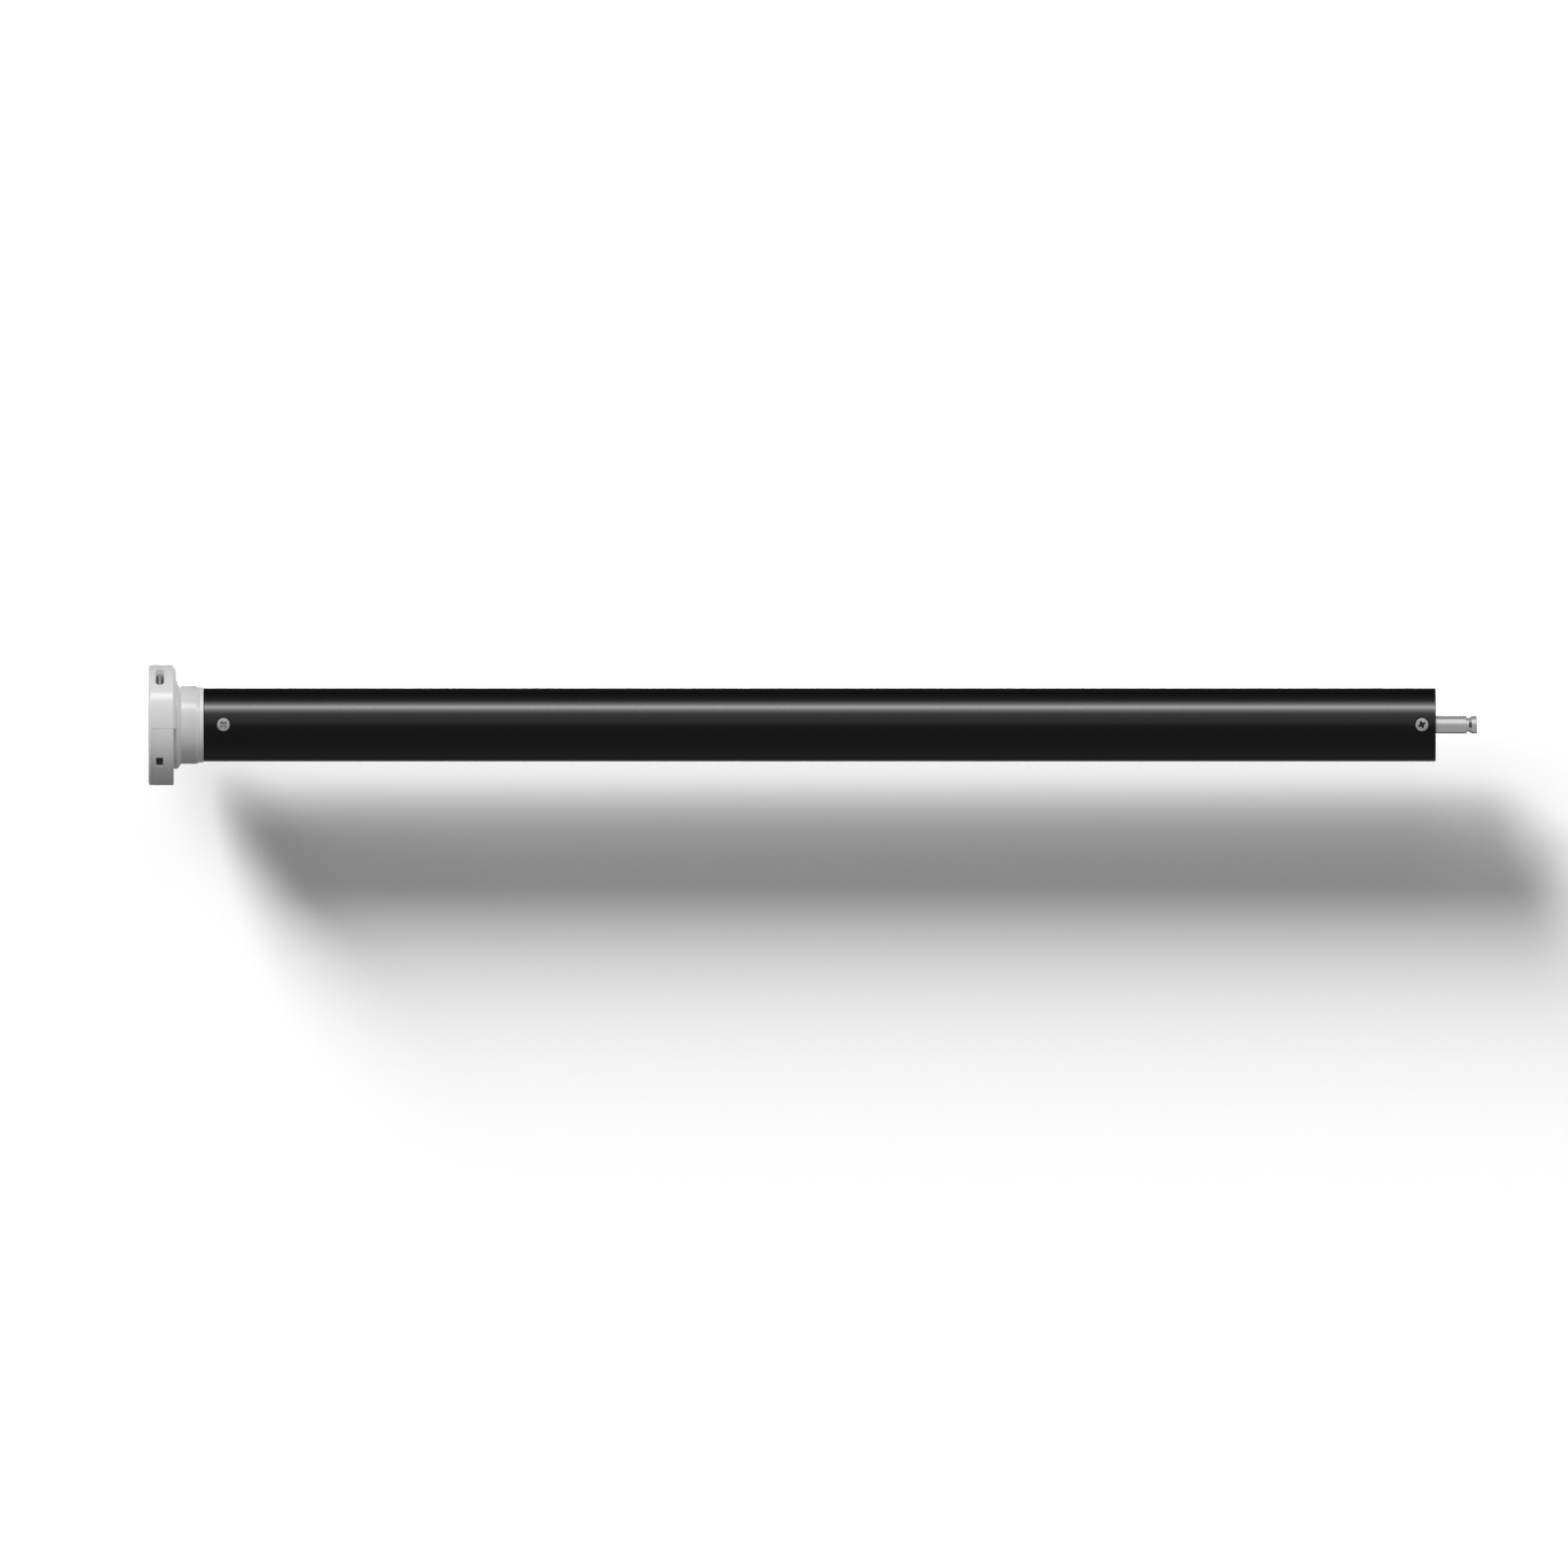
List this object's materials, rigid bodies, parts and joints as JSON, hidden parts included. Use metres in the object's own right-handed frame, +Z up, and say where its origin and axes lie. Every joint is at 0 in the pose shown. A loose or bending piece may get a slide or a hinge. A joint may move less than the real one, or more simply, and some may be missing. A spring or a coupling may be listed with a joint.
{
  "type": "tubular roller blind motor",
  "caption": "Battery roller blind motor: round plastic head, free-turning crown ring, long black tube and a polished output shaft with a ring groove.",
  "frame": {"origin": "centre of the head's outer (bracket) face, on the motor's axis", "axes": "+X along the tube to the output shaft, +Z up, front (charging port and setting button) on -Y"},
  "size_m": [0.45, 0.041, 0.041],
  "materials": {
    "light_plastic": "smooth light grey plastic",
    "ring_plastic": "smooth light grey plastic",
    "washer_plastic": "white low-friction plastic",
    "dark_plastic": "black plastic",
    "gear_plastic": "natural acetal",
    "black_tube": "satin black coating on aluminium",
    "screw_steel": "bright nickel-plated steel",
    "shaft_steel": "ground and polished steel",
    "plain_steel": "machined steel",
    "sintered_steel": "sintered steel",
    "brass": "turned brass",
    "copper": "enamelled copper",
    "circuit_board": "green solder mask",
    "component_black": "moulded components",
    "connector_ivory": "nylon connectors",
    "cell_wrap": "printed cell wrap, plain",
    "sleeve_blue": "shrink sleeve",
    "foam": "closed-cell foam",
    "rubber": "moulded rubber",
    "red_wire": "wire insulation",
    "black_wire": "wire insulation",
    "magnet": "ferrite",
    "carbon": "carbon brush"
  },
  "bodies": {
    "housing": {"head_body": "light_plastic", "head_cover": "light_plastic", "cover_screws": "screw_steel", "bracket_inserts": "brass", "port_shell": "plain_steel", "port_tongue": "light_plastic", "head_board": "circuit_board", "button_switch": "component_black", "neck": "ring_plastic", "neck_screws": "screw_steel", "thrust_washer": "washer_plastic", "head_cable": "black_wire", "motor_tube": "black_tube", "tube_screws": "screw_steel", "board_tray": "dark_plastic", "control_board": "circuit_board", "board_components": "component_black", "cable_connectors": "connector_ivory", "battery_cells": "cell_wrap", "battery_sleeve": "sleeve_blue", "pack_spacers": "dark_plastic", "foam_pads": "foam", "protection_board": "circuit_board", "battery_leads": "red_wire", "motor_leads": "black_wire", "sensor_board": "circuit_board", "motor_can": "plain_steel", "rubber_rings": "rubber", "field_magnets": "magnet", "end_bell": "gear_plastic", "brushes": "carbon", "motor_bushes": "brass", "brake_housing": "sintered_steel", "motor_screws": "screw_steel", "ring_gear": "sintered_steel", "end_block": "dark_plastic", "output_bushes": "brass"},
    "crown": {"crown_ring": "ring_plastic"},
    "button": {"program_button": "dark_plastic"},
    "rotor": {"rotor_shaft": "plain_steel", "rotor_core": "sintered_steel", "rotor_windings": "copper", "commutator": "copper", "encoder_magnet": "magnet", "brake_hub": "plain_steel", "brake_spring": "plain_steel", "sun_gear": "brass"},
    "carrier_1": {"carrier_1": "sintered_steel"},
    "carrier_2": {"carrier_2": "sintered_steel"},
    "output": {"output_shaft": "shaft_steel", "output_clip": "plain_steel"},
    "planet_1a": {"planet_1a": "gear_plastic"},
    "planet_1b": {"planet_1b": "gear_plastic"},
    "planet_1c": {"planet_1c": "gear_plastic"},
    "planet_2a": {"planet_2a": "sintered_steel"},
    "planet_2b": {"planet_2b": "sintered_steel"},
    "planet_2c": {"planet_2c": "sintered_steel"},
    "planet_3a": {"planet_3a": "sintered_steel"},
    "planet_3b": {"planet_3b": "sintered_steel"},
    "planet_3c": {"planet_3c": "sintered_steel"}
  },
  "joints": [
    {"name": "rotor_spin", "type": "hinge", "parent": "housing", "child": "rotor", "pos_m": [0.34, 0, 0], "axis": [1, 0, 0], "continuous": true},
    {"name": "crown_ring_spin", "type": "hinge", "parent": "housing", "child": "crown", "pos_m": [0.0141, 0, 0], "axis": [1, 0, 0], "continuous": true},
    {"name": "button_press", "type": "slide", "parent": "housing", "child": "button", "axis": [0, 0.7826, 0.6225], "range_m": [0, 0.0004], "stiffness_N_per_m": 800},
    {"name": "carrier_1_spin", "type": "hinge", "parent": "housing", "child": "carrier_1", "pos_m": [0.392, 0, 0], "axis": [1, 0, 0], "continuous": true},
    {"name": "carrier_2_spin", "type": "hinge", "parent": "housing", "child": "carrier_2", "pos_m": [0.4009, 0, 0], "axis": [1, 0, 0], "continuous": true},
    {"name": "output_spin", "type": "hinge", "parent": "housing", "child": "output", "pos_m": [0.44, 0, 0], "axis": [1, 0, 0], "continuous": true},
    {"name": "planet_1a_spin", "type": "hinge", "parent": "carrier_1", "child": "planet_1a", "pos_m": [0.388, 0.00607, 0], "axis": [1, 0, 0], "continuous": true},
    {"name": "planet_1b_spin", "type": "hinge", "parent": "carrier_1", "child": "planet_1b", "pos_m": [0.388, -0.00304, 0.00526], "axis": [1, 0, 0], "continuous": true},
    {"name": "planet_1c_spin", "type": "hinge", "parent": "carrier_1", "child": "planet_1c", "pos_m": [0.388, -0.00304, -0.00526], "axis": [1, 0, 0], "continuous": true},
    {"name": "planet_2a_spin", "type": "hinge", "parent": "carrier_2", "child": "planet_2a", "pos_m": [0.3965, 0.00607, 0], "axis": [1, 0, 0], "continuous": true},
    {"name": "planet_2b_spin", "type": "hinge", "parent": "carrier_2", "child": "planet_2b", "pos_m": [0.3965, -0.00304, 0.00526], "axis": [1, 0, 0], "continuous": true},
    {"name": "planet_2c_spin", "type": "hinge", "parent": "carrier_2", "child": "planet_2c", "pos_m": [0.3965, -0.00304, -0.00526], "axis": [1, 0, 0], "continuous": true},
    {"name": "planet_3a_spin", "type": "hinge", "parent": "output", "child": "planet_3a", "pos_m": [0.407, 0.00607, 0], "axis": [1, 0, 0], "continuous": true},
    {"name": "planet_3b_spin", "type": "hinge", "parent": "output", "child": "planet_3b", "pos_m": [0.407, -0.00304, 0.00526], "axis": [1, 0, 0], "continuous": true},
    {"name": "planet_3c_spin", "type": "hinge", "parent": "output", "child": "planet_3c", "pos_m": [0.407, -0.00304, -0.00526], "axis": [1, 0, 0], "continuous": true}
  ],
  "couplings": [
    {"joint": "carrier_1_spin", "follows": "rotor_spin", "ratio": 0.22222},
    {"joint": "carrier_2_spin", "follows": "rotor_spin", "ratio": 0.049383},
    {"joint": "output_spin", "follows": "rotor_spin", "ratio": 0.010974},
    {"joint": "planet_1a_spin", "follows": "rotor_spin", "ratio": -0.62222},
    {"joint": "planet_1b_spin", "follows": "rotor_spin", "ratio": -0.62222},
    {"joint": "planet_1c_spin", "follows": "rotor_spin", "ratio": -0.62222},
    {"joint": "planet_2a_spin", "follows": "rotor_spin", "ratio": -0.13827},
    {"joint": "planet_2b_spin", "follows": "rotor_spin", "ratio": -0.13827},
    {"joint": "planet_2c_spin", "follows": "rotor_spin", "ratio": -0.13827},
    {"joint": "planet_3a_spin", "follows": "rotor_spin", "ratio": -0.030727},
    {"joint": "planet_3b_spin", "follows": "rotor_spin", "ratio": -0.030727},
    {"joint": "planet_3c_spin", "follows": "rotor_spin", "ratio": -0.030727}
  ]
}
